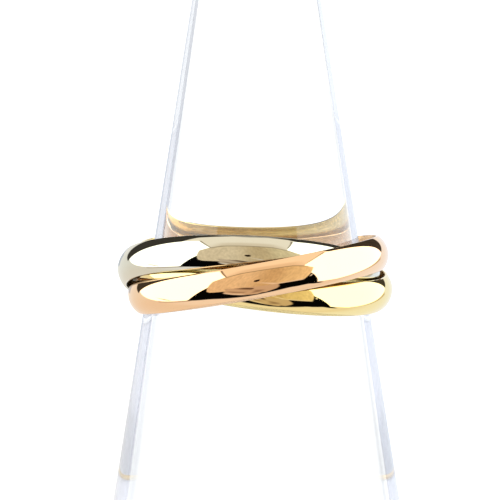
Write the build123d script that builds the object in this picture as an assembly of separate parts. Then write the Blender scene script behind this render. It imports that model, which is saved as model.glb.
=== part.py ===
from build123d import *
from math import asin, atan, cos, degrees, hypot, pi, radians, sin
import os

# Rolling ring of three interlocked bands, seated on a clear solid cone.
# Millimetres and degrees. +Z is up, the front is towards -Y, and the origin is
# the middle of the cone's foot.

# Section of a band, the same for all three: domed outside, slightly domed inside
band_radius = 9.93
band_width = 2.78
band_thickness = 0.95
edge_thickness = 0.19
inner_dome = 0.15
edge_round = 0.06

# Free play that lets the bands turn through one another
side_play = 0.53
radial_play = 0.13

# How the set lies: the rose band stands furthest out this far round from the
# front, towards +X, and the others follow at even steps
set_turn = 14.4

# How the set sits on the cone: leant back, so that its front is high, and as
# far behind the cone's axis as leaves even play all round
ring_lean = 4.0
ring_back = 0.285

# Clear cone that holds the ring
cone_slope = 0.16
cone_top_radius = 4.0
seat_height = 30.0
seat_gap = 0.03
top_round = 0.6
foot_chamfer = 0.3

# Where each band comes in the braid, counted in even steps, and how it has
# settled: a little more turn, and a little higher or lower than the middle
BANDS = {
    "rose_band": {"step": 0, "extra_turn": -1.0, "raised": 0.04},
    "yellow_band": {"step": 1, "extra_turn": -1.0, "raised": -0.04},
    "white_band": {"step": 2, "extra_turn": 2.0, "raised": 0.0},
}

# The braid follows from the section and the play: two bands that cross need a
# band's thickness between them across the finger, and a width along it
step_angle = 360 / len(BANDS)
step_chord = 2 * sin(radians(step_angle / 2))
band_shift = (band_thickness + radial_play) / step_chord
band_rise = (band_width + side_play) / step_chord
band_tilt = degrees(asin(band_rise / (band_radius + band_thickness / 2)))


def direction(turn):
    """Level unit vector, turned from the front towards +X."""
    return Vector(sin(radians(turn)), -cos(radians(turn)), 0)


def band_place(step, extra_turn, raised):
    """Place of a band about the seat: shifted outwards where it crosses on the
    outside, raised a quarter turn further round, and leant with the others."""
    turn = set_turn + step * step_angle + extra_turn
    low_to_high = direction(turn + 90)
    tilt = radians(band_tilt)
    normal = Vector(0, 0, cos(tilt)) - low_to_high * sin(tilt)
    centre = direction(turn) * band_shift + Vector(0, 0, raised)
    level = Plane(origin=centre, x_dir=direction(turn), z_dir=normal)
    return Location((0, ring_back, 0), (-ring_lean, 0, 0)) * level.location


def band_solid():
    """One band, standing about the Z axis."""
    half = band_width / 2
    inner_edge = band_radius + inner_dome
    outer_edge = inner_edge + edge_thickness
    crown = band_radius + band_thickness
    with BuildSketch(Plane.XZ) as section:
        with BuildLine():
            ThreePointArc((inner_edge, -half), (band_radius, 0), (inner_edge, half))
            Line((inner_edge, half), (outer_edge, half))
            ThreePointArc((outer_edge, half), (crown, 0), (outer_edge, -half))
            Line((outer_edge, -half), (inner_edge, -half))
        make_face()
        fillet(section.vertices(), min(edge_round, 0.45 * edge_thickness))
    return revolve(section.sketch, Axis.Z)


def clear_radius(places):
    """Radius, at the middle of the ring, of the widest cone that passes through
    all the bands: the nearest point of their inside surfaces, measured along
    the cone's side."""
    across = 4
    around = 720
    least = band_radius
    for plane in map(Plane, places):
        for i in range(-across, across + 1):
            share = i / across
            radius = band_radius + inner_dome * share ** 2
            height = share * band_width / 2
            for k in range(around):
                angle = 2 * pi * k / around
                point = plane.from_local_coords(Vector(radius * cos(angle), radius * sin(angle), height))
                least = min(least, hypot(point.X, point.Y) + cone_slope * point.Z)
    return least


def clear_cone(seat_radius):
    """Solid cone whose radius is seat_radius where the ring sits."""
    foot_radius = seat_radius + cone_slope * seat_height
    height = (foot_radius - cone_top_radius) / cone_slope
    cone = Cone(foot_radius, cone_top_radius, height, align=(Align.CENTER, Align.CENTER, Align.MIN))
    rims = cone.edges().filter_by(GeomType.CIRCLE).sort_by(Axis.Z)
    cone = fillet(rims[-1], top_round)
    rims = cone.edges().filter_by(GeomType.CIRCLE).sort_by(Axis.Z)
    return chamfer(rims[0], foot_chamfer)


places = {name: band_place(**row) for name, row in BANDS.items()}
seat_radius = clear_radius(places.values()) - seat_gap / cos(atan(cone_slope))
band = band_solid()
seat = Location((0, 0, seat_height))

os.makedirs("parts", exist_ok=True)
for name, place in places.items():
    export_step(seat * place * band, f"parts/{name}.step")
    own = Plane(seat * place)
    print(f"{name}: centre {tuple(round(c, 4) for c in own.origin)}, axis {tuple(round(c, 6) for c in own.z_dir)}")
export_step(clear_cone(seat_radius), "parts/clear_cone.step")
print(f"cone radius at the ring {seat_radius:.3f}, tilt {band_tilt:.2f}, shift {band_shift:.3f}")
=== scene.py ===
"""Looks of a rolling ring of three gold bands on its solid clear cone. Metres, +Z up, front towards -Y."""

import logging
from collections.abc import Sequence
from dataclasses import dataclass
from enum import Enum
from math import asin, cos, pi, radians, sin

import bpy
from mathutils import Matrix, Vector


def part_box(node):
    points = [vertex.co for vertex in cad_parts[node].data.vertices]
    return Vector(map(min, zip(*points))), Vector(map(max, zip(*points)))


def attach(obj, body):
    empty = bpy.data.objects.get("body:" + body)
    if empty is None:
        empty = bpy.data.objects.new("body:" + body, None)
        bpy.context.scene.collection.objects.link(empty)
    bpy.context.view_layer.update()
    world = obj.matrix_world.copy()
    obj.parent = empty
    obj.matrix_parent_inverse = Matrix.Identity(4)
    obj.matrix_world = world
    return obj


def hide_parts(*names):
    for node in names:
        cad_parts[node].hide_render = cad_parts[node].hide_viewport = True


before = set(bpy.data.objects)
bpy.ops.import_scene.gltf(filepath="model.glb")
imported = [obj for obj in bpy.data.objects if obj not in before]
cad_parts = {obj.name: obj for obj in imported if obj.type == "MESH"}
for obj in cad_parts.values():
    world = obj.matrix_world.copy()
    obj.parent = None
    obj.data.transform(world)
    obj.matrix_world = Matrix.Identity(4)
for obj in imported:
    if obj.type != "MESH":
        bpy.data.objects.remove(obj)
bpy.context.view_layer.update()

MM = 0.001
Colour = tuple[float, float, float]
Span = tuple[float, float]
PLAIN_WHITE = (1.0, 1.0, 1.0)
log = logging.getLogger("rolling_ring")


class Wire:
    """An output of a node. Operators on it add Math nodes, or Vector Math nodes where a side is a vector."""

    def __init__(self, net: "Net", socket: bpy.types.NodeSocket) -> None:
        """Keeps the node tree's builder and the output."""
        self.net = net
        self.socket = socket

    @property
    def is_vector(self) -> bool:
        """True for an output of three numbers."""
        return self.socket.type in ("VECTOR", "RGBA")

    def calc(self, operation: str, *others: "Wire | float") -> "Wire":
        """Adds a Math node.

        Args:
            operation: The Math node's operation.
            others: The second and third numbers, as wires or plain values.

        Returns:
            The node's result.
        """
        values = dict(enumerate((self, *others)))
        return self.net.node("ShaderNodeMath", {"operation": operation}, values)

    def calc_vector(self, operation: str, other: "Wire | Sequence[float]", output: str = "Vector") -> "Wire":
        """Adds a Vector Math node.

        Args:
            operation: The Vector Math node's operation.
            other: The second vector.
            output: The name of the output that is wanted.

        Returns:
            That output.
        """
        return self.net.node("ShaderNodeVectorMath", {"operation": operation}, {0: self, 1: other}, output)

    def _both(self, operation: str, other: "Wire | float | Sequence[float]", swap: bool = False) -> "Wire":
        """Adds the node of an operator.

        Args:
            operation: The node's operation.
            other: The other side, as a wire, a number or a vector.
            swap: True where the other side comes first.

        Returns:
            The node's result.
        """
        other_is_vector = other.is_vector if isinstance(other, Wire) else isinstance(other, (tuple, Vector))
        vector = self.is_vector or other_is_vector
        if vector and isinstance(other, (int, float)):
            other = (other, other, other)
        kind = "ShaderNodeVectorMath" if vector else "ShaderNodeMath"
        first, second = (other, self) if swap else (self, other)
        return self.net.node(kind, {"operation": operation}, {0: first, 1: second})

    def __add__(self, other: "Wire | float") -> "Wire":
        """Sum."""
        return self._both("ADD", other)

    __radd__ = __add__

    def __sub__(self, other: "Wire | float") -> "Wire":
        """Difference."""
        return self._both("SUBTRACT", other)

    def __rsub__(self, other: float) -> "Wire":
        """Difference with the number first."""
        return self._both("SUBTRACT", other, swap=True)

    def __mul__(self, other: "Wire | float | Sequence[float]") -> "Wire":
        """Product."""
        return self._both("MULTIPLY", other)

    __rmul__ = __mul__

    def __truediv__(self, other: "Wire | float") -> "Wire":
        """Quotient."""
        return self._both("DIVIDE", other)

    def __neg__(self) -> "Wire":
        """The same with its sign turned."""
        return self * -1.0

    def sine(self) -> "Wire":
        """Sine of an angle in radians."""
        return self.calc("SINE")

    def cosine(self) -> "Wire":
        """Cosine of an angle in radians."""
        return self.calc("COSINE")

    def size(self) -> "Wire":
        """The number without its sign."""
        return self.calc("ABSOLUTE")

    def between(self, low: float, high: float) -> "Wire":
        """The number, held between two limits."""
        return self.calc("MAXIMUM", low).calc("MINIMUM", high)

    def step_up(self, low: float, high: float) -> "Wire":
        """0 below low, 1 above high, and smooth between them."""
        values = {"Value": self, "From Min": low, "From Max": high}
        return self.net.node("ShaderNodeMapRange", {"interpolation_type": "SMOOTHSTEP"}, values, "Result")

    def part(self, axis: str) -> "Wire":
        """One of a vector's three numbers: X, Y or Z."""
        return self.net.node("ShaderNodeSeparateXYZ", {}, {0: self}, axis)


class Net:
    """Builds a node tree of any kind."""

    def __init__(self, tree: bpy.types.NodeTree) -> None:
        """Keeps the tree."""
        self.tree = tree

    def node(
        self,
        kind: str,
        settings: dict[str, object],
        inputs: dict[str | int, object],
        output: str | int = 0,
    ) -> Wire | None:
        """Adds a node.

        Args:
            kind: The node's type name.
            settings: The node's own properties, which are set before its sockets.
            inputs: A wire or a plain value for each named or numbered socket.
            output: The output that is wanted.

        Returns:
            That output, or None from a node that has none.
        """
        node = self.tree.nodes.new(kind)
        for name, value in settings.items():
            setattr(node, name, value)
        for key, value in inputs.items():
            if isinstance(value, Wire):
                self.tree.links.new(value.socket, node.inputs[key])
            else:
                node.inputs[key].default_value = value
        return Wire(self, node.outputs[output]) if len(node.outputs) else None

    def vector(self, x: Wire | float, y: Wire | float, z: Wire | float = 0.0) -> Wire:
        """Joins three numbers to a vector."""
        return self.node("ShaderNodeCombineXYZ", {}, {"X": x, "Y": y, "Z": z})

    def blend(self, share: Wire, first: Wire | Colour, second: Wire | Colour) -> Wire:
        """Mixes two colours.

        Args:
            share: How much of the second shows, from 0 to 1.
            first: The colour where the share is 0.
            second: The colour where the share is 1.

        Returns:
            The mixed colour.
        """
        ends = [(*c, 1.0) if isinstance(c, tuple) else c for c in (first, second)]
        values = {"Factor": share, "A": ends[0], "B": ends[1]}
        return self.node("ShaderNodeMix", {"data_type": "RGBA"}, values, "Result")

    def noise(self, place: Wire, density: float, detail: float) -> Wire:
        """Noise around 0.5, with so many swells in a unit of length and so many finer layers."""
        values = {"Vector": place, "Scale": density, "Detail": detail}
        return self.node("ShaderNodeTexNoise", {}, values, "Fac")


def towards(azimuth: float, elevation: float = 0.0) -> Vector:
    """Finds a direction.

    Args:
        azimuth: Degrees round from the front, towards +X.
        elevation: Degrees up.

    Returns:
        Its unit vector.
    """
    level = cos(radians(elevation))
    return Vector((sin(radians(azimuth)) * level, -cos(radians(azimuth)) * level, sin(radians(elevation))))


@dataclass
class BandSizes:
    """Section of a band, in metres, and the number of steps round the finger and round the section."""

    radius: float = 9.93 * MM
    width: float = 2.78 * MM
    thickness: float = 0.95 * MM
    edge: float = 0.19 * MM
    inner_dome: float = 0.15 * MM
    edge_round: float = 0.06 * MM
    around: int = 640
    across: int = 120


@dataclass
class Lay:
    """How a band lies on the cone."""

    centre: Vector
    axis: Vector
    front: Vector

    @property
    def matrix(self) -> Matrix:
        """Joins the centre and the axes.

        Returns:
            The move from the band's own axes to its place in the ring.
        """
        side = self.axis.cross(self.front)
        turn = Matrix((self.front, side, self.axis)).transposed()
        return Matrix.Translation(self.centre) @ turn.to_4x4()


@dataclass
class Braid:
    """The rule that places the three bands about the cone. Lengths are in metres and angles in degrees."""

    sizes: BandSizes
    side_play: float = 0.53 * MM
    radial_play: float = 0.13 * MM
    set_turn: float = 14.4
    seat_height: float = 30.0 * MM
    lean: float = 4.0
    back: float = 0.285 * MM
    steps: int = 3

    def lay(self, step: int, extra_turn: float, raised: float) -> Lay:
        """Places one band.

        Args:
            step: How many even steps round the band stands furthest out.
            extra_turn: Degrees that it has settled further round.
            raised: Metres that it has settled higher.

        Returns:
            Its centre and axes.
        """
        step_angle = 360 / self.steps
        chord = 2 * sin(radians(step_angle / 2))
        shift = (self.sizes.thickness + self.radial_play) / chord
        rise = (self.sizes.width + self.side_play) / chord
        tilt = asin(rise / (self.sizes.radius + self.sizes.thickness / 2))
        turn = self.set_turn + step * step_angle + extra_turn
        front = towards(turn)
        axis = Vector((0.0, 0.0, cos(tilt))) - towards(turn + 90) * sin(tilt)
        leant = Matrix.Rotation(radians(-self.lean), 3, "X")
        seat = Vector((0.0, self.back, self.seat_height))
        centre = seat + leant @ (front * shift + Vector((0.0, 0.0, raised)))
        return Lay(centre, leant @ axis, leant @ front)


class Metal(Enum):
    """The three golds, with the share of red, green and blue light that each sends back."""

    ROSE = (0.94, 0.64, 0.385)
    YELLOW = (0.91, 0.73, 0.33)
    WHITE = (0.72, 0.71, 0.60)

    @property
    def slot(self) -> str:
        """Name of the gold's material slot."""
        return f"{self.name.lower()}_gold"


def new_material(name: str) -> tuple[bpy.types.Material, Net]:
    """Makes an empty node material.

    Args:
        name: The material's name.

    Returns:
        The material and the builder of its tree.
    """
    material = bpy.data.materials.new(name)
    material.use_nodes = True
    material.node_tree.nodes.clear()
    return material, Net(material.node_tree)


def dress(net: Net, inputs: dict[str | int, object]) -> None:
    """Ends a material's tree with a Principled shader.

    Args:
        net: The material's node tree.
        inputs: A wire or a plain value for each of the shader's sockets that is set.
    """
    shader = net.node("ShaderNodeBsdfPrincipled", {}, inputs)
    net.node("ShaderNodeOutputMaterial", {}, {"Surface": shader})


@dataclass(frozen=True)
class GoldFinish:
    """Polished outside and satin inside, with fine hairlines from wear. The inside's colour holds painted
    shade and a painted sparkle.

    Depths are in metres. Lines run round the band, so their densities are for each radian round, each metre
    across and each metre outwards. The other densities are for each metre. Marks are where a noise starts to
    show and where it shows in full.
    """

    metal: Metal
    polish: float = 0.035
    worn_polish: float = 0.02
    satin: float = 0.24
    fleck_satin: float = 0.12
    grain_satin: float = 0.10
    rubbed: Colour = (0.55, 0.42, 0.30)
    rubbed_share: float = 0.06
    # Painted shade on the satin inside, grain darkening and a painted sparkle on its flecks
    inside_painted_shade: float = 0.08
    grain_shade: float = 0.12
    painted_sparkle: float = 0.25
    fleck_relief: float = 0.8
    swell_depth: float = 0.0012 * MM
    hairline_depth: float = 0.0001 * MM
    grain_depth: float = 0.007 * MM
    relief_strength: float = 0.6
    satin_end: float = 0.02 * MM
    polish_start: float = 0.07 * MM
    grain_marks: Span = (0.35, 0.75)
    # Where the painted sparkle on the flecks starts and where it is full
    painted_sparkle_marks: Span = (0.52, 0.66)
    rubbed_marks: Span = (0.3, 0.8)
    worn_marks: Span = (0.45, 0.75)
    swell_density: float = 900.0
    fleck_density: float = 5500.0
    wear_density: float = 700.0
    grain_density: tuple[float, float, float] = (40.0 / (2 * pi), 16000.0, 4000.0)
    hairline_density: tuple[float, float, float] = (60.0, 30000.0, 9000.0)

    def lines(self, net: Net, place: Sequence[Wire], density: Sequence[float], detail: float) -> Wire:
        """Noise that is drawn out into lines round the band.

        Args:
            net: The material's node tree.
            place: The turn about the band's axis, the place across it and the reach from the axis.
            density: How many swells each of these has in a unit.
            detail: The number of finer layers.

        Returns:
            The noise, around 0.5.
        """
        stretched = net.vector(*(wire * steps for wire, steps in zip(place, density)))
        return net.noise(stretched, 1.0, detail)

    def material(self, lay: Lay, sizes: BandSizes) -> bpy.types.Material:
        """Makes the finish for one band.

        Args:
            lay: The band's place, about whose axis the pattern runs.
            sizes: The band's section.

        Returns:
            The material.
        """
        material, net = new_material(self.metal.slot)
        place = net.node("ShaderNodeTexCoord", {}, {}, "Object")
        turned = {"Vector": place, "Location": lay.centre, "Rotation": lay.matrix.to_euler()}
        own = net.node("ShaderNodeMapping", {"vector_type": "TEXTURE"}, turned)
        x, y, z = (own.part(axis) for axis in "XYZ")
        reach = (x * x + y * y).calc("SQRT")
        turn = y.calc("ARCTAN2", x)
        inner_edge = sizes.radius + sizes.inner_dome
        outside = reach.step_up(inner_edge + self.satin_end, inner_edge + self.polish_start)
        inside = 1.0 - outside

        grain = self.lines(net, (turn, z, reach), self.grain_density, detail=3.0)
        hairlines = self.lines(net, (turn, z, reach), self.hairline_density, detail=2.0)
        swell = net.noise(own, self.swell_density, detail=2.0)
        fleck = net.noise(own, self.fleck_density, detail=1.0)
        wear = net.noise(own, self.wear_density, detail=3.0)

        # The inside's colour: painted shade, darker grain lines and a painted sparkle on the flecks
        painted_shade_and_grain = self.inside_painted_shade + grain.step_up(*self.grain_marks) * self.grain_shade
        shade_grain_and_sparkle = 1.0 - inside * (painted_shade_and_grain - fleck.step_up(*self.painted_sparkle_marks) * self.painted_sparkle)
        tint = net.blend(wear.step_up(*self.rubbed_marks) * self.rubbed_share, self.metal.value, self.rubbed)
        rough_in = self.satin + (fleck - 0.5) * self.fleck_satin + (grain - 0.5) * self.grain_satin
        rough_out = self.polish + wear.step_up(*self.worn_marks) * self.worn_polish

        relief_in = ((grain - 0.5) + (fleck - 0.5) * self.fleck_relief) * (self.grain_depth / MM)
        relief_out = (swell - 0.5) * (self.swell_depth / MM) + (hairlines - 0.5) * (self.hairline_depth / MM)
        relief = inside * relief_in + outside * relief_out
        bump = {"Height": relief, "Distance": MM, "Strength": self.relief_strength}
        inputs = {
            "Base Color": tint * shade_grain_and_sparkle,
            "Metallic": 1.0,
            "Roughness": outside * rough_out + inside * rough_in,
            "Normal": net.node("ShaderNodeBump", {}, bump),
        }
        dress(net, inputs)
        return material


@dataclass(frozen=True)
class AcrylicFinish:
    """Clear polished acrylic with a sawn, matt foot. Lengths are in metres and densities for each metre."""

    slot: str = "clear_acrylic"
    tint: Colour = (0.985, 0.988, 1.0)
    ior: float = 1.59
    sawn: float = 0.45
    sawn_height: float = 0.1 * MM
    haze: float = 0.012
    haze_marks: Span = (0.55, 0.85)
    haze_density: float = 260.0
    ripple_depth: float = 0.04 * MM
    ripple_density: float = 90.0
    ripple_strength: float = 0.5

    def material(self) -> bpy.types.Material:
        """Makes the finish.

        Returns:
            The material.
        """
        material, net = new_material(self.slot)
        place = net.node("ShaderNodeTexCoord", {}, {}, "Object")
        haze = net.noise(place, self.haze_density, detail=3.0)
        ripple = net.noise(place, self.ripple_density, detail=1.0)
        bump = {"Height": ripple, "Distance": self.ripple_depth, "Strength": self.ripple_strength}
        foot = 1.0 - place.part("Z").step_up(self.sawn_height, self.sawn_height * 2.0)
        inputs = {
            "Base Color": (*self.tint, 1.0),
            "Transmission Weight": 1.0,
            "IOR": self.ior,
            "Roughness": haze.step_up(*self.haze_marks) * self.haze + foot * self.sawn,
            "Normal": net.node("ShaderNodeBump", {}, bump),
        }
        dress(net, inputs)
        return material


class ShapeTree:
    """A Geometry Nodes tree with named inputs, run once to give a plain mesh."""

    def __init__(self, name: str, inputs: dict[str, float | int]) -> None:
        """Makes the tree with its inputs.

        Args:
            name: The tree's name.
            inputs: Name and value of each input. An int makes a count, a float a length.
        """
        self.tree = bpy.data.node_groups.new(name, "GeometryNodeTree")
        self.net = Net(self.tree)
        self.values = inputs
        self.tree.interface.new_socket("Geometry", in_out="OUTPUT", socket_type="NodeSocketGeometry")
        self.tree.interface.new_socket("Geometry", in_out="INPUT", socket_type="NodeSocketGeometry")
        for key, value in inputs.items():
            kind = "NodeSocketInt" if isinstance(value, int) else "NodeSocketFloat"
            self.tree.interface.new_socket(key, in_out="INPUT", socket_type=kind)

    def given(self, name: str) -> Wire:
        """The named input, as a wire."""
        return self.net.node("NodeGroupInput", {}, {}, name)

    def circle(self, steps: str, radius: Wire | float) -> Wire:
        """A circle with the named count of steps."""
        values = {"Resolution": self.given(steps), "Radius": radius}
        return self.net.node("GeometryNodeCurvePrimitiveCircle", {}, values)

    def sweep(self, path: Wire, section: Wire) -> Wire:
        """The surface that a section leaves along a path."""
        return self.net.node("GeometryNodeCurveToMesh", {}, {"Curve": path, "Profile Curve": section})

    def smooth(self, surface: Wire) -> Wire:
        """The surface, smoothly shaded."""
        return self.net.node("GeometryNodeSetShadeSmooth", {}, {"Geometry": surface, "Shade Smooth": True})

    def end(self, geometry: Wire, material: bpy.types.Material) -> None:
        """Closes the tree with realized instances and the material.

        Args:
            geometry: The finished surface.
            material: What it is dressed in.
        """
        real = self.net.node("GeometryNodeRealizeInstances", {}, {0: geometry})
        dressed = self.net.node("GeometryNodeSetMaterial", {}, {"Geometry": real, "Material": material})
        self.net.node("NodeGroupOutput", {}, {0: dressed})

    def mesh(self, name: str) -> bpy.types.Mesh:
        """Runs the tree.

        Args:
            name: The new mesh's name.

        Returns:
            The plain mesh that it gives.
        """
        holder = bpy.data.objects.new(name, bpy.data.meshes.new(name))
        bpy.context.scene.collection.objects.link(holder)
        modifier = holder.modifiers.new(name, "NODES")
        modifier.node_group = self.tree
        for item in self.tree.interface.items_tree:
            if item.in_out == "INPUT" and item.name in self.values:
                modifier[item.identifier] = self.values[item.name]
        bpy.context.view_layer.update()
        ready = holder.evaluated_get(bpy.context.evaluated_depsgraph_get())
        mesh = bpy.data.meshes.new_from_object(ready)
        mesh.name = name
        bpy.data.objects.remove(holder)
        return mesh


def make_piece(name: str, mesh: bpy.types.Mesh, body: str, node: str) -> bpy.types.Object:
    """Puts a finished mesh in the scene.

    Args:
        name: The piece's name.
        mesh: Its mesh, in place.
        body: The body that it rides on.
        node: The CAD node that it stands for.

    Returns:
        The piece.
    """
    piece = bpy.data.objects.new(name, mesh)
    bpy.context.scene.collection.objects.link(piece)
    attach(piece, body)
    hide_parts(node)
    top = max(corner.co.z for corner in mesh.vertices)
    cad_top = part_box(node)[1][2]
    faces = len(mesh.polygons)
    log.info("%s: %d faces, top at %.3f mm, the node's at %.3f mm", name, faces, top / MM, cad_top / MM)
    return piece


@dataclass
class Band:
    """One band of the ring. The shares are those of the section's steps that its dome and its edges take."""

    node: str
    body: str
    finish: GoldFinish
    lay: Lay
    sizes: BandSizes
    outer_share: float = 0.5
    edge_share: float = 0.26

    def section(self, shape: ShapeTree) -> Wire:
        """The band's closed section: a dome outside, a flatter one inside and rounded edges between them.

        A point's place follows from the direction that the surface faces there, which turns evenly along
        each dome and fast round the edges.

        Args:
            shape: The tree that takes the section.

        Returns:
            The section as a curve, with X pointing outwards from the band's inner crown.
        """
        net = shape.net
        half = shape.given("Width") * 0.5
        rounding = shape.given("Edge Round")
        dome = shape.given("Inner Dome")
        rise = shape.given("Thickness") - shape.given("Edge") - dome
        outer = (half * half + rise * rise) / (rise * 2.0)
        inner = (half * half + dome * dome) / (dome * 2.0)
        outer_turn = ((half - rounding) / (outer - rounding)).calc("ARCSINE")
        inner_turn = ((half - rounding) / (inner - rounding)).calc("ARCSINE")

        index = net.node("GeometryNodeInputIndex", {}, {})
        share = index * 2.0 / shape.given("Across") - 1.0
        way = share.size()
        edge_end = self.outer_share + self.edge_share
        on_outer = (way / self.outer_share).between(0.0, 1.0)
        on_edge = ((way - self.outer_share) / self.edge_share).between(0.0, 1.0)
        on_inner = ((way - edge_end) / (1.0 - edge_end)).between(0.0, 1.0)
        faces = outer_turn * on_outer + (pi - outer_turn - inner_turn) * on_edge + inner_turn * on_inner

        outer_faces = faces.calc("MINIMUM", outer_turn)
        inner_faces = faces.calc("MAXIMUM", pi - inner_turn)
        outer_core = outer - rounding
        inner_core = inner - rounding
        outer_x = shape.given("Thickness") - outer + outer_core * outer_faces.cosine()
        outer_y = outer_core * outer_faces.sine()
        inner_x = inner + inner_core * inner_faces.cosine()
        inner_y = inner_core * inner_faces.sine()
        is_inner = faces.calc("GREATER_THAN", pi / 2)
        x = outer_x + (inner_x - outer_x) * is_inner + rounding * faces.cosine()
        y = outer_y + (inner_y - outer_y) * is_inner + rounding * faces.sine()
        place = net.vector(x, y * share.calc("SIGN"))
        circle = shape.circle("Across", 1.0)
        return net.node("GeometryNodeSetPosition", {}, {"Geometry": circle, "Position": place})

    def mesh(self, material: bpy.types.Material) -> bpy.types.Mesh:
        """Sweeps the section round the finger.

        Args:
            material: The band's finish.

        Returns:
            The band's mesh, in place.
        """
        inputs = {
            "Radius": self.sizes.radius,
            "Width": self.sizes.width,
            "Thickness": self.sizes.thickness,
            "Edge": self.sizes.edge,
            "Inner Dome": self.sizes.inner_dome,
            "Edge Round": self.sizes.edge_round,
            "Around": self.sizes.around,
            "Across": self.sizes.across,
        }
        shape = ShapeTree("band_sweep", inputs)
        path = shape.circle("Around", shape.given("Radius"))
        shape.end(shape.smooth(shape.sweep(path, self.section(shape))), material)
        mesh = shape.mesh(self.node)
        mesh.transform(self.lay.matrix)
        return mesh

    def build(self) -> None:
        """Makes the band, dressed and riding on its body."""
        mesh = self.mesh(self.finish.material(self.lay, self.sizes))
        make_piece(f"{self.node}_polished", mesh, self.body, self.node)


@dataclass
class Cone:
    """The solid clear cone that holds the ring. Lengths are in metres."""

    finish: AcrylicFinish
    node: str = "clear_cone"
    body: str = "stand"
    slope: float = 0.16
    top_radius: float = 4.0 * MM
    top_round: float = 0.6 * MM
    foot_chamfer: float = 0.3 * MM
    around: int = 720
    round_steps: int = 16
    path_radius: float = 1.0 * MM
    seam: float = 0.001 * MM
    crisp_angle: float = 25.0

    def corner_is(self, net: Net, number: int) -> Wire:
        """1 at the outline's corner of that number and 0 at the others."""
        return net.node("GeometryNodeInputIndex", {}, {}).calc("COMPARE", float(number), 0.5)

    def profile(self, shape: ShapeTree) -> Wire:
        """The cone's half outline, open at the axis.

        Args:
            shape: The tree that takes the outline.

        Returns:
            The outline as a curve, with X measured outwards from the path that sweeps it.
        """
        net = shape.net
        path = shape.given("Path Radius")
        foot = shape.given("Foot Radius")
        top = shape.given("Top Radius")
        height = (foot - top) / shape.given("Slope")
        corners = ((-path, 0.0), (foot - path, 0.0), (top - path, height), (-path, height))
        points = {f"Point {i + 1}": net.vector(x, -y) for i, (x, y) in enumerate(corners)}
        box = net.node("GeometryNodeCurvePrimitiveQuadrilateral", {"mode": "POINTS"}, points)
        outline = net.node("GeometryNodeSetSplineCyclic", {}, {"Geometry": box, "Cyclic": False})
        flank = shape.given("Slope").calc("ARCTANGENT")
        foot_corner = (pi / 2 - flank) * 0.5
        chamfer_radius = shape.given("Foot Chamfer") * foot_corner.calc("TANGENT")
        chamfer = {
            "Curve": outline,
            "Count": 1,
            "Radius": chamfer_radius * self.corner_is(net, 1),
            "Limit Radius": True,
        }
        cut = net.node("GeometryNodeFilletCurve", {"mode": "POLY"}, chamfer)
        # The chamfer adds a corner, so the top's one is number 3
        rounding = {
            "Curve": cut,
            "Count": shape.given("Round Steps"),
            "Radius": shape.given("Top Round") * self.corner_is(net, 3),
            "Limit Radius": True,
        }
        return net.node("GeometryNodeFilletCurve", {"mode": "POLY"}, rounding)

    def mesh(self, material: bpy.types.Material) -> bpy.types.Mesh:
        """Turns the outline round the axis.

        Args:
            material: The cone's finish.

        Returns:
            The cone's mesh.
        """
        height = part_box(self.node)[1][2]
        inputs = {
            "Foot Radius": self.top_radius + self.slope * height,
            "Top Radius": self.top_radius,
            "Slope": self.slope,
            "Top Round": self.top_round,
            "Foot Chamfer": self.foot_chamfer,
            "Path Radius": self.path_radius,
            "Around": self.around,
            "Round Steps": self.round_steps,
        }
        shape = ShapeTree("cone_turning", inputs)
        net = shape.net
        path = shape.circle("Around", shape.given("Path Radius"))
        turned = shape.sweep(path, self.profile(shape))
        outwards = net.node("GeometryNodeFlipFaces", {}, {"Mesh": turned})
        merged = {"Geometry": outwards, "Distance": self.seam}
        closed = net.node("GeometryNodeMergeByDistance", {}, merged)
        angle = net.node("GeometryNodeInputMeshEdgeAngle", {}, {}, "Unsigned Angle")
        sharp = angle.calc("GREATER_THAN", radians(self.crisp_angle))
        edges = {"Geometry": shape.smooth(closed), "Selection": sharp, "Shade Smooth": False}
        crisp = net.node("GeometryNodeSetShadeSmooth", {"domain": "EDGE"}, edges)
        shape.end(crisp, material)
        return shape.mesh(self.node)

    def build(self) -> None:
        """Makes the cone, dressed and riding on its body."""
        mesh = self.mesh(self.finish.material())
        make_piece(f"{self.node}_polished", mesh, self.body, self.node)


@dataclass(frozen=True)
class Sight:
    """The direction that a ray looks in: as a vector, in degrees up and in degrees round from the front."""

    way: Wire
    height: Wire
    round_front: Wire


@dataclass(frozen=True)
class Paint:
    """An even colour."""

    colour: Colour

    def shown(self, net: Net, sight: Sight) -> Wire | Colour:
        """The colour in the direction looked in."""
        return self.colour


@dataclass(frozen=True)
class SpeckledPaint(Paint):
    """A colour that is broken up by specks.

    Its strength goes from the least up by the spread. Densities are for each degree round and each one up.
    """

    least: float = 0.2
    spread: float = 1.6
    density: Span = (0.45, 0.08)

    def specks(self, net: Net, sight: Sight) -> Wire:
        """Upright specks, around 0.5."""
        across, up = self.density
        return net.noise(net.vector(sight.round_front * across, sight.height * up), 1.0, detail=2.0)

    def shown(self, net: Net, sight: Sight) -> Wire:
        """The colour in the direction looked in."""
        return (self.specks(net, sight) * self.spread + self.least) * self.colour


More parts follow.
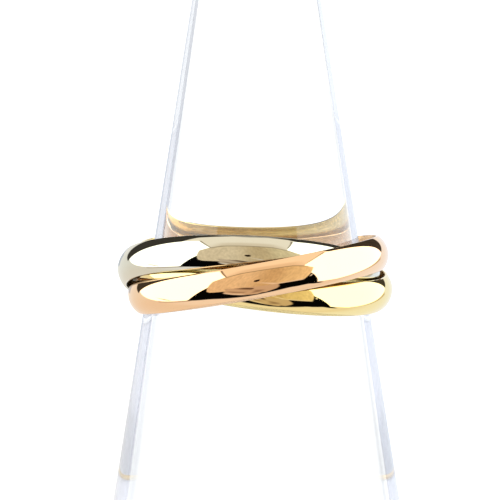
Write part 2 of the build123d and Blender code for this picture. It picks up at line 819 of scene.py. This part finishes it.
@dataclass(frozen=True)
class BrushedPaint(SpeckledPaint):
    """A colour that turns lighter towards both sides, with soft streaks besides the specks."""

    least: float = 0.52
    spread: float = 0.58
    left: Colour = (0.88, 0.72, 0.51)
    right: Colour = (0.84, 0.69, 0.43)
    far_right: Colour = (1.0, 0.84, 0.54)
    left_ends: Span = (-16.0, 8.0)
    right_starts: Span = (12.0, 28.0)
    far_right_starts: Span = (30.0, 46.0)
    streak_spread: float = 0.36
    streak_density: Span = (0.11, 0.04)

    def shown(self, net: Net, sight: Sight) -> Wire:
        """Draws the brushed surface.

        Args:
            net: The studio's node tree.
            sight: The direction looked in.

        Returns:
            The colour in that direction.
        """
        tone = net.blend(sight.round_front.step_up(*self.left_ends), self.left, self.colour)
        tone = net.blend(sight.round_front.step_up(*self.right_starts), tone, self.right)
        tone = net.blend(sight.round_front.step_up(*self.far_right_starts), tone, self.far_right)
        across, up = self.streak_density
        streaks = net.noise(net.vector(sight.round_front * across, sight.height * up), 1.0, detail=4.0)
        return tone * (streaks * self.streak_spread + self.specks(net, sight) * self.spread + self.least)


@dataclass(frozen=True)
class Card:
    """One flat card, wall or opening of the studio, as it is seen from the ring.

    Its corners are in degrees round from the front and up, in order, and its outline has no hollow. Its blur
    is the half width of its soft edge, in degrees.
    """

    paint: Paint
    corners: tuple[Span, ...]
    blur: float = 0.6

    def cover(self, net: Net, way: Wire) -> Wire:
        """Finds where the card shows.

        Args:
            net: The studio's node tree.
            way: The direction looked in.

        Returns:
            1 on the card and 0 off it.
        """
        points = [towards(*corner) for corner in self.corners]
        middle = sum(points, Vector())
        soft = sin(radians(self.blur))
        cover = None
        for first, second in zip(points, points[1:] + points[:1]):
            edge = first.cross(second).normalized()
            if edge.dot(middle) < 0:
                edge = -edge
            depth = way.calc_vector("DOT_PRODUCT", edge, "Value")
            cover = depth if cover is None else cover.calc("MINIMUM", depth)
        return cover.step_up(-soft, soft)


def lay_over(net: Net, sight: Sight, ground: Wire, cards: Sequence[Card]) -> Wire:
    """Lays cards over what is behind them.

    Args:
        net: The studio's node tree.
        sight: The direction looked in.
        ground: What is behind the cards.
        cards: The cards, from the rearmost to the foremost.

    Returns:
        What is seen.
    """
    shown = {paint: paint.shown(net, sight) for paint in dict.fromkeys(card.paint for card in cards)}
    for card in cards:
        ground = net.blend(card.cover(net, sight.way), ground, shown[card.paint])
    return ground


@dataclass(frozen=True)
class Room:
    """The pale room behind the cards. Each span is where one colour turns into the next, in degrees."""

    ground: Colour = (0.99, 0.96, 0.95)
    rear_ground: Colour = (0.93, 0.86, 0.79)
    right_ground: Colour = (1.01, 1.06, 1.14)
    wall: Colour = (0.95, 0.94, 0.91)
    right_wall: Colour = (0.99, 1.06, 1.16)
    roof: Colour = (1.12, 1.02, 0.88)
    rear_starts: Span = (85.0, 110.0)
    right_starts: Span = (95.0, 130.0)
    wall_starts: Span = (-25.0, 0.0)
    roof_starts: Span = (12.0, 45.0)

    def shown(self, net: Net, sight: Sight) -> Wire:
        """Draws the room.

        Args:
            net: The studio's node tree.
            sight: The direction looked in.

        Returns:
            The colour in that direction.
        """
        to_right = sight.round_front.step_up(*self.right_starts)
        to_rear = sight.round_front.size().step_up(*self.rear_starts)
        ground = net.blend(to_rear, self.ground, self.rear_ground)
        ground = net.blend(to_right, ground, self.right_ground)
        wall = net.blend(to_right, self.wall, self.right_wall)
        below = net.blend(sight.height.step_up(*self.wall_starts), ground, wall)
        return net.blend(sight.height.step_up(*self.roof_starts), below, self.roof)


class Journey:
    """What a ray has met on its way to the surroundings.

    Mirrored is the number of mirrors. The others are 1 for yes and 0 for no: at least one, two or three
    mirrors, a way through the cone, one from its far side, one thrown back by its own sides, and one that
    the floor scattered.
    """

    def __init__(self, net: Net) -> None:
        """Reads what the ray has met.

        Args:
            net: The studio's node tree.
        """
        mirrored, through, leaving, scattered = (
            net.node("ShaderNodeLightPath", {}, {}, output)
            for output in ("Glossy Depth", "Transmission Depth", "Is Transmission Ray", "Diffuse Depth")
        )
        self.mirrored = mirrored
        self.once, self.twice, self.thrice = ((mirrored - n).between(0.0, 1.0) for n in (0.0, 1.0, 2.0))
        self.through = through.between(0.0, 1.0)
        self.far_side = (through - 2.0).between(0.0, 1.0)
        self.in_cone = leaving * self.twice * (1.0 - self.far_side)
        self.scattered = scattered.between(0.0, 1.0)


@dataclass
class Studio:
    """A light tent: white walls at both sides, a tan card with a lens hole in front, and dark gaps below it.

    Lengths are in metres and angles in degrees, but the lens and the sensor are in millimetres. Each span is
    where one colour turns into the next.
    """

    room: Room
    camera_distance: float = 250.0 * MM
    camera_rise: float = 4.13
    aim: tuple[float, float, float] = (-0.537 * MM, 0.426 * MM, 32.011 * MM)
    lens: float = 217.8
    sensor: float = 36.0
    nearest: float = 10.0 * MM
    mirror_bounces: int = 24
    clear_bounces: int = 16
    most_bounces: int = 32
    tent_lean: float = 4.0
    backdrop: Colour = (1.2, 1.2, 1.2)
    low_backdrop: Colour = (0.88, 0.90, 0.93)
    low_backdrop_ends: Span = (-26.0, -17.0)
    low_glow: Colour = (1.06, 1.10, 1.16)
    level_glow: Colour = (0.90, 0.94, 1.04)
    high_glow: Colour = (1.18, 1.23, 1.38)
    level_glow_starts: Span = (-38.0, -24.0)
    high_glow_starts: Span = (-6.0, 6.0)
    glow_share: float = 0.96
    free_bounces: float = 4.0
    trapped_loss: float = 0.03
    most_trapped_loss: float = 0.6
    second_loss: float = 0.3
    third_loss: float = 0.67
    far_side_relief: float = 0.85
    left_limit: Colour = (1.0, 0.76, 0.78)
    right_limit: Colour = (1.35, 1.15, 1.0)
    left_limit_ends: Span = (-46.0, -40.0)
    veil: Colour = (1.35, 1.65, 2.3)
    veil_ends: Span = (44.0, 48.0)
    floor_size: float = 6.0
    floor_gap: float = 0.05 * MM
    floor_dark: Colour = (0.44, 0.44, 0.445)
    floor_pale: Colour = (0.50, 0.50, 0.50)
    floor_grain: float = 900.0
    floor_roughness: float = 0.6
    floor_light: Colour = (1.2, 1.2, 1.2)
    floor_glow: float = 0.9

    def light(self) -> None:
        """Makes the studio's light from all around, which the camera itself sees as plain white."""
        world = bpy.data.worlds.new("light_tent")
        bpy.context.scene.world = world
        world.use_nodes = True
        world.node_tree.nodes.clear()
        net = Net(world.node_tree)
        looked = net.node("ShaderNodeTexCoord", {}, {}, "Generated")
        leant = {"Vector": looked, "Angle": radians(self.tent_lean)}
        way = net.node("ShaderNodeVectorRotate", {"rotation_type": "X_AXIS"}, leant)
        height = way.part("Z").calc("ARCSINE") * (180 / pi)
        round_front = way.part("X").calc("ARCTAN2", -way.part("Y")) * (180 / pi)
        sight = Sight(way, height, round_front)
        shown = self.met(net, sight, Journey(net))
        glow = net.node("ShaderNodeBackground", {}, {"Color": shown, "Strength": 1.0})
        net.node("ShaderNodeOutputWorld", {}, {"Surface": glow})

    def tent(self, net: Net, sight: Sight, journey: Journey) -> Wire:
        """What mirrors show of the tent: dim for what has bounced between the bands.

        The inside of the bands, seen through the cone's far side, keeps more of its light and is held to a
        tone.

        Args:
            net: The studio's node tree.
            sight: The direction looked in.
            journey: What the ray has met.

        Returns:
            The colour.
        """
        tent = lay_over(net, sight, self.room.shown(net, sight), CARDS)
        loss = journey.twice * self.second_loss + journey.thrice * self.third_loss
        tent = tent * (1.0 - loss * (1.0 - journey.far_side * self.far_side_relief))
        to_right = sight.round_front.step_up(*self.left_limit_ends)
        limit = net.blend(to_right, self.left_limit, self.right_limit)
        tent = net.blend(journey.far_side, tent, tent.calc_vector("MINIMUM", limit))
        ahead = 1.0 - sight.round_front.size().step_up(*self.veil_ends)
        return tent * net.blend(journey.far_side * ahead, PLAIN_WHITE, self.veil)

    def glow(self, net: Net, sight: Sight, journey: Journey) -> Wire:
        """What the cone's own sides throw back, by the height at which it leaves them.

        Args:
            net: The studio's node tree.
            sight: The direction looked in.
            journey: What the ray has met.

        Returns:
            The colour.
        """
        trapped = journey.mirrored - self.free_bounces
        loss = (trapped * self.trapped_loss).between(0.0, self.most_trapped_loss)
        glow = net.blend(sight.height.step_up(*self.level_glow_starts), self.low_glow, self.level_glow)
        glow = net.blend(sight.height.step_up(*self.high_glow_starts), glow, self.high_glow)
        return glow * (1.0 - loss)

    def straight(self, net: Net, sight: Sight, journey: Journey) -> Wire:
        """What is seen straight: white, and toned far at the sides where it is seen through the cone.

        Args:
            net: The studio's node tree.
            sight: The direction looked in.
            journey: What the ray has met.

        Returns:
            The colour.
        """
        above_low = sight.height.step_up(*self.low_backdrop_ends)
        ground = net.blend(above_low, self.low_backdrop, self.backdrop)
        return net.blend(journey.through, self.backdrop, lay_over(net, sight, ground, BEYOND))

    def met(self, net: Net, sight: Sight, journey: Journey) -> Wire:
        """Chooses what a ray finds, by what it has met on its way.

        Args:
            net: The studio's node tree.
            sight: The direction looked in.
            journey: What the ray has met.

        Returns:
            The colour.
        """
        in_cone = journey.in_cone * self.glow_share
        mirrored = net.blend(in_cone, self.tent(net, sight, journey), self.glow(net, sight, journey))
        seen = net.blend(journey.once, self.straight(net, sight, journey), mirrored)
        return net.blend(journey.scattered, seen, self.floor_light)

    def floor(self) -> None:
        """Makes the pale floor, which mirrors leave out so that they show the tent's own lower half."""
        half = self.floor_size / 2
        low = -self.floor_gap
        corners = [(-half, -half, low), (half, -half, low), (half, half, low), (-half, half, low)]
        mesh = bpy.data.meshes.new("floor")
        mesh.from_pydata(corners, [], [(0, 1, 2, 3)])
        material, net = new_material("pale_floor")
        place = net.node("ShaderNodeTexCoord", {}, {}, "Object")
        grain = net.noise(place, self.floor_grain, detail=2.0)
        inputs = {
            "Base Color": net.blend(grain, self.floor_dark, self.floor_pale),
            "Roughness": self.floor_roughness,
            "Emission Color": (*PLAIN_WHITE, 1.0),
            "Emission Strength": self.floor_glow,
        }
        dress(net, inputs)
        mesh.materials.append(material)
        floor = bpy.data.objects.new("floor", mesh)
        bpy.context.scene.collection.objects.link(floor)
        floor.visible_glossy = False
        floor.visible_transmission = False

    def camera(self) -> None:
        """Sets the camera at the photograph's angle."""
        data = bpy.data.cameras.new("camera")
        data.lens = self.lens
        data.sensor_width = self.sensor
        data.clip_start = self.nearest
        camera = bpy.data.objects.new("camera", data)
        rise = radians(self.camera_rise)
        camera.location = Vector(self.aim) + self.camera_distance * towards(0.0, self.camera_rise)
        camera.rotation_euler = (pi / 2 - rise, 0.0, 0.0)
        bpy.context.scene.collection.objects.link(camera)
        bpy.context.scene.camera = camera

    def build(self) -> None:
        """Makes the light, the floor and the camera."""
        scene = bpy.context.scene
        scene.view_settings.view_transform = "Standard"
        scene.cycles.glossy_bounces = self.mirror_bounces
        scene.cycles.transmission_bounces = self.clear_bounces
        scene.cycles.max_bounces = self.most_bounces
        self.light()
        self.floor()
        self.camera()
        log.info("studio: %d cards, lens %.1f mm", len(CARDS), self.lens)


WALL = Paint((2.6, 2.6, 2.35))
GAP = Paint((0.002, 0.002, 0.002))
SHADE = SpeckledPaint((0.052, 0.047, 0.041))
PANEL = BrushedPaint((0.68, 0.52, 0.31))
PANEL_SHADOW = Paint((0.45, 0.37, 0.25))
AWNING = Paint((0.91, 0.78, 0.62))
AWNING_SHADOW = Paint((0.42, 0.32, 0.17))
# Painted shadow along the lower edges of the walls
LEFT_WALL_SHADOW = Paint((0.62, 0.52, 0.46))
RIGHT_WALL_SHADOW = Paint((0.70, 0.60, 0.48))
TONGUE = Paint((0.66, 0.52, 0.40))
CREAM = Paint((0.92, 0.82, 0.74))
BROWN = Paint((0.36, 0.26, 0.19))
DARK_BROWN = Paint((0.13, 0.08, 0.05))
RIM = Paint((0.30, 0.24, 0.18))
SMUDGE = Paint((0.80, 0.70, 0.62))
LENS_HOLE = Paint((0.02, 0.01, 0.005))
GLINT = Paint((0.9, 0.9, 0.9))
REAR_GREY = Paint((0.60, 0.64, 0.71))
SIDE_GREY = Paint((0.66, 0.69, 0.75))
PALE_GREY = Paint((0.88, 0.90, 0.93))
RIGHT_STRIP = Paint((0.46, 0.49, 0.54))
LEFT_STRIP = Paint((0.45, 0.48, 0.53))

CARDS = (
    # Pale awning above the tan panel
    Card(AWNING, ((-40, 28), (40, 28), (34, 58), (-34, 58)), 7.0),
    Card(AWNING_SHADOW, ((-30, 30), (28, 30), (26, 43), (-28, 43)), 3.5),
    # Painted shadow strips along the lower edges of both walls
    Card(LEFT_WALL_SHADOW, ((-106, -25), (-74, -44.5), (-75, -48), (-107, -28.5)), 1.2),
    Card(RIGHT_WALL_SHADOW, ((136, 2), (82, -42), (84, -45.5), (138, -2)), 1.5),
    # Dark gaps below the panel
    Card(GAP, ((-46, 5), (-70, -27), (-76, -44), (-50, -56.5), (-10, -50), (-10, -10)), 1.0),
    Card(GAP, ((-52, -56), (0, -73), (22, -70), (20, -40), (-30, -40)), 2.5),
    Card(GAP, ((0, -73), (22, -70), (60, -53), (24, -30), (0, -40)), 2.5),
    Card(GAP, ((48, 4), (70, -25), (77, -43), (80, -47.5), (60, -53), (24, -60), (24, -10)), 1.0),
    Card(GAP, ((74, -40), (98, -47.5), (82, -48.5), (68, -50)), 1.0),
    # Tan tongue that hangs down from the panel, with its folds
    Card(TONGUE, ((-28, -20), (25, -20), (24, -32), (26, -66), (-3, -65), (-22, -50), (-30, -40)), 1.2),
    Card(TONGUE, ((20, -30), (23.5, -31), (29, -42), (31, -50), (26, -62), (10, -60)), 1.2),
    Card(CREAM, ((-30, -36), (-30, -40), (-3, -64), (-10, -55)), 1.2),
    Card(BROWN, ((-27, -32), (-23, -34), (-4, -48), (-8, -50), (-20, -43)), 1.5),
    Card(BROWN, ((-22, -20), (-15, -22), (0, -36), (0, -43), (-12, -34)), 2.0),
    Card(BROWN, ((4, -44), (14, -48), (16, -56), (4, -58)), 3.0),
    Card(DARK_BROWN, ((-19, -20), (-15, -21), (0, -33.5), (1, -38), (-3, -37)), 0.8),
    # White walls with a thin brown rim
    Card(RIM, ((-37.2, 28), (-36, 31.5), (-43.5, 42), (-60, 55), (-80, 62), (-80, 55), (-50, 30)), 0.4),
    Card(
        RIM,
        ((38.5, 31), (41, 38), (46, 47), (53, 53), (64, 59), (80, 64), (105, 67), (100, 60), (60, 40)),
        0.4,
    ),
    Card(
        WALL,
        (
            (-44, 40), (-37, 31), (-46.5, -3), (-60, -27), (-76, -44), (-100, -29),
            (-134, 2), (-128, 18), (-98, 54), (-80, 60.5), (-60, 53),
        ),
    ),
    Card(
        WALL,
        (
            (40, 36), (38, 31), (47, -2), (60, -25), (77, -43), (100, -38), (139, 8),
            (128, 42), (105, 66), (80, 62.8), (64, 57.5), (53, 51.5), (46, 45),
        ),
    ),
    Card(SMUDGE, ((-103, -15), (-95, -22), (-90, -31), (-93, -31), (-99, -22)), 1.0),
    # Dark strip overhead and behind the walls
    Card(SHADE, ((-133, 0), (-98, 53), (-114, 61), (180, 66), (180, 34), (-156, 21)), 0.8),
    Card(SHADE, ((140, 8), (106, 64), (118, 66), (180, 65), (180, 34), (159, 23)), 0.8),
    Card(
        SHADE,
        ((-118, 61), (-127, 68), (-142, 79.5), (180, 83.5), (142, 79.5), (127, 68), (118, 61), (180, 50)),
        0.8,
    ),
    # Tan panel with its shadow line, its lower left corner and the lens hole
    Card(PANEL_SHADOW, ((-46, 20), (-39.5, 33), (-28.5, 43.5), (27.5, 43.5), (39.5, 32), (47, 17)), 1.0),
    Card(
        PANEL,
        (
            (-46, -21), (-46, 23), (-38, 31), (-28, 40), (27, 40),
            (38, 30), (47, 19), (47, -28), (24, -30), (-27, -28),
        ),
    ),
    Card(PANEL, ((-46, -10), (-46, -20), (-43.5, -25), (-40, -27), (-28, -30.5), (-28, -10))),
    Card(CREAM, ((2, -13), (6, -15), (24, -28), (18, -29)), 2.0),
    Card(CREAM, ((24, -26), (47, -24), (47, -28), (24, -30)), 1.5),
    Card(LENS_HOLE, ((-4.5, -4), (-2, -7), (0.5, -5), (0.5, 1), (-1, 3.5), (-4.5, 2))),
    # Small bright spots in the right gap and behind
    Card(GLINT, ((49, -17), (51, -17), (50.3, -9), (49, -9)), 0.5),
    Card(REAR_GREY, ((-157, 0), (-157, 8), (-178, 8), (-178, 0)), 0.6),
)

# Soft grey strips far at the sides, which show only through the cone's edges
BEYOND = (
    Card(SIDE_GREY, ((90, -45), (122, -38), (122, -16), (90, -16)), 4.0),
    Card(PALE_GREY, ((90, -45), (111, -38), (111, -16), (90, -16)), 3.0),
    Card(RIGHT_STRIP, ((95.5, -45), (105, -38), (105, -18), (95.5, -18)), 2.5),
    Card(LEFT_STRIP, ((-95, -45), (-115, -38), (-115, -18), (-95, -18)), 3.0),
)


def main() -> None:
    """Builds the studio, the cone and the ring's three bands."""
    logging.basicConfig(level=logging.INFO, format="%(name)s: %(message)s")
    Studio(Room()).build()
    Cone(AcrylicFinish()).build()
    sizes = BandSizes()
    braid = Braid(sizes)
    Band("rose_band", "stand", GoldFinish(Metal.ROSE), braid.lay(0, -1.0, 0.04 * MM), sizes).build()
    Band("yellow_band", "yellow", GoldFinish(Metal.YELLOW), braid.lay(1, -1.0, -0.04 * MM), sizes).build()
    Band("white_band", "white", GoldFinish(Metal.WHITE), braid.lay(2, 2.0, 0.0), sizes).build()


if __name__ == "__main__":
    main()
